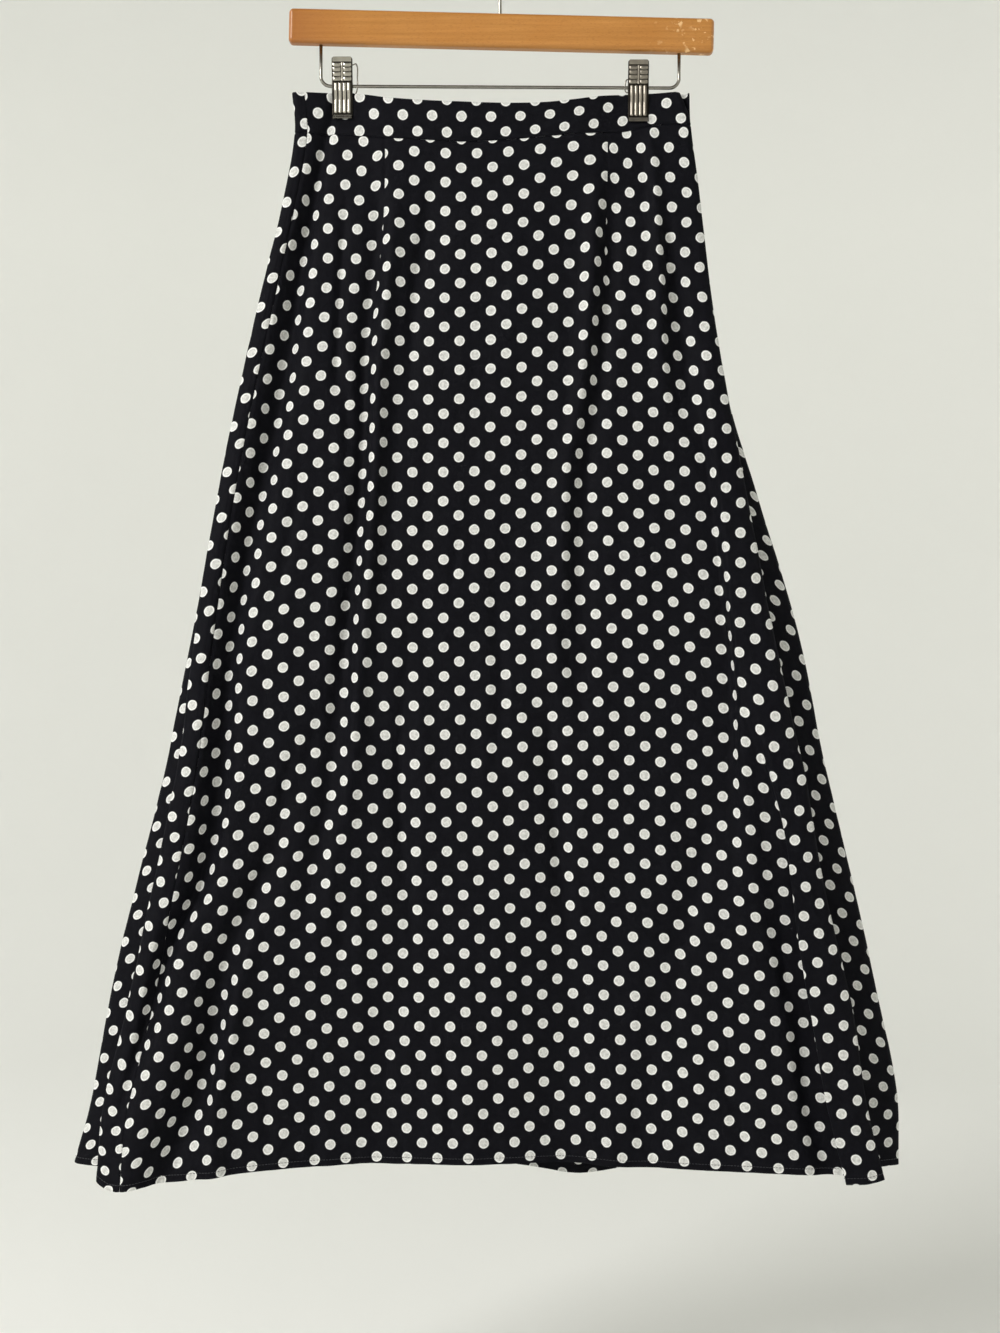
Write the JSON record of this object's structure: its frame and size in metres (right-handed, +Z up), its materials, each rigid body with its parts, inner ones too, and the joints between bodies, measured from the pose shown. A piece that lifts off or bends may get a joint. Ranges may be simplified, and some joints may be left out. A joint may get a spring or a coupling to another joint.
{
  "type": "midi skirt on a wooden clip hanger",
  "caption": "A-line midi skirt with a narrow waistband, hung flat from a wooden hanger by spring clips; the cloth is an open tube that falls in soft folds to the hem.",
  "frame": {"origin": "inner top of the hanger's hook, where a rail or nail carries it", "axes": "+Z up, the front of the skirt faces -Y, +X to the right as seen from the front"},
  "size_m": [0.6865, 0.0967, 1.0471],
  "materials": {
    "cloth": "soft woven viscose, black with off-white dots",
    "wood": "clear satin varnish",
    "wire_steel": "drawn wire, plated",
    "plated_steel": "pressed sheet, nickel plated"
  },
  "bodies": {
    "root": {"skirt_front": "cloth", "skirt_back": "cloth", "waistband_front": "cloth", "waistband_back": "cloth", "hanger_bar": "wood", "hanger_hook": "wire_steel", "clip_wire": "wire_steel", "clip_left_front": "plated_steel", "clip_left_back": "plated_steel", "clip_left_spring": "plated_steel", "clip_right_front": "plated_steel", "clip_right_back": "plated_steel", "clip_right_spring": "plated_steel"}
  },
  "joints": []
}
